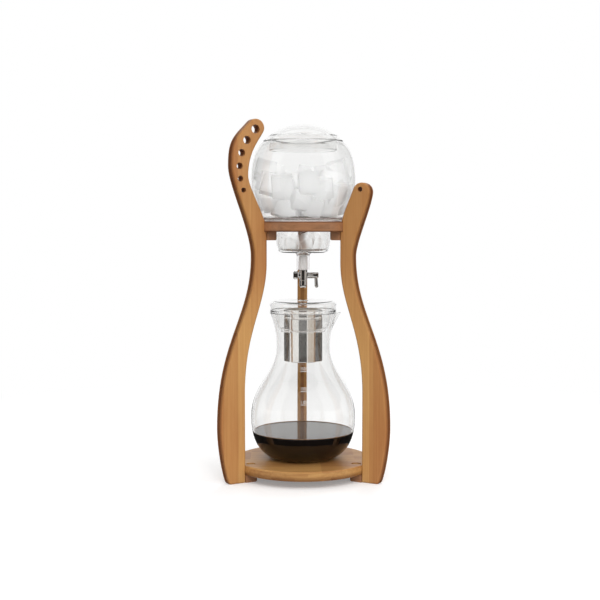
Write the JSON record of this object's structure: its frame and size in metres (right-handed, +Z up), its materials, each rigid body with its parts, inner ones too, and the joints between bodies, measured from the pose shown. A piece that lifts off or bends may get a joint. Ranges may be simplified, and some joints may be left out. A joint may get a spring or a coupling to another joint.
{
  "type": "cold drip coffee tower",
  "caption": "Tabletop cold drip coffee tower: bamboo stand of curved posts, glass ice vessel with a steel drip valve, glass carafe with a steel filter.",
  "frame": {"origin": "on the floor under the middle of the bounding box; the tower's own vertical axis passes 18.1 mm in front of it (towards -Y)", "axes": "+Z up; -Y is the front, between the two splayed front posts; +X is the side of the short front post and the valve's lever"},
  "size_m": [0.2314, 0.225, 0.4866],
  "materials": {
    "bamboo_dark": "oiled",
    "bamboo_light": "oiled",
    "clear_glass": "polished",
    "silicone": "matte",
    "steel_polished": "polished",
    "steel_brushed": "satin",
    "zinc_screw": "zinc plated"
  },
  "bodies": {
    "stand": {"left_post": "bamboo_light", "left_foot_block": "bamboo_dark", "left_cleat": "bamboo_dark", "right_post": "bamboo_light", "right_foot_block": "bamboo_dark", "right_cleat": "bamboo_dark", "rear_post": "bamboo_light", "rear_foot_block": "bamboo_dark", "rear_cleat": "bamboo_dark", "base_disc": "bamboo_dark", "shelf_ring": "bamboo_dark", "base_screws": "zinc_screw", "shelf_screws": "zinc_screw", "screw_plugs": "bamboo_light", "foot_dowels": "bamboo_light", "cleat_dowels": "bamboo_light", "vessel_gasket": "silicone"},
    "vessel": {"ice_vessel": "clear_glass", "stopper": "silicone", "valve_body": "steel_polished", "valve_barrel": "steel_polished", "outlet_tip": "steel_polished"},
    "vessel_lid": {"dome_lid": "clear_glass"},
    "tap": {"valve_spindle": "steel_polished", "valve_washer": "silicone", "valve_nut": "steel_polished", "valve_lever": "steel_polished"},
    "jug": {"carafe": "clear_glass"},
    "holder": {"filter_holder": "clear_glass"},
    "filter": {"filter_body": "steel_polished", "filter_screen": "steel_brushed"},
    "spreader": {"spreader_cap": "steel_polished", "spreader_plate": "steel_brushed"},
    "jug_lid": {"carafe_lid": "clear_glass"}
  },
  "joints": [
    {"name": "vessel_lift", "type": "slide", "parent": "stand", "child": "vessel", "axis": [0, 0, 1], "range_m": [0, 0.018]},
    {"name": "vessel_lid_lift", "type": "slide", "parent": "vessel", "child": "vessel_lid", "axis": [0, 0, 1], "range_m": [0, 0.07]},
    {"name": "tap_turn", "type": "hinge", "parent": "vessel", "child": "tap", "pos_m": [0, -0.0181, 0.277], "axis": [-1, 0, 0], "range_deg": [0, 90]},
    {"name": "carafe_slide", "type": "slide", "parent": "stand", "child": "jug", "axis": [0, -1, 0], "range_m": [0, 0.2]},
    {"name": "holder_lift", "type": "slide", "parent": "jug", "child": "holder", "axis": [0, 0, 1], "range_m": [0, 0.006]},
    {"name": "filter_lift", "type": "slide", "parent": "holder", "child": "filter", "axis": [0, 0, 1], "range_m": [0, 0.004]},
    {"name": "spreader_lift", "type": "slide", "parent": "filter", "child": "spreader", "axis": [0, 0, 1], "range_m": [0, 0.004]},
    {"name": "carafe_lid_lift", "type": "slide", "parent": "holder", "child": "jug_lid", "axis": [0, 0, 1], "range_m": [0, 0.008]}
  ]
}
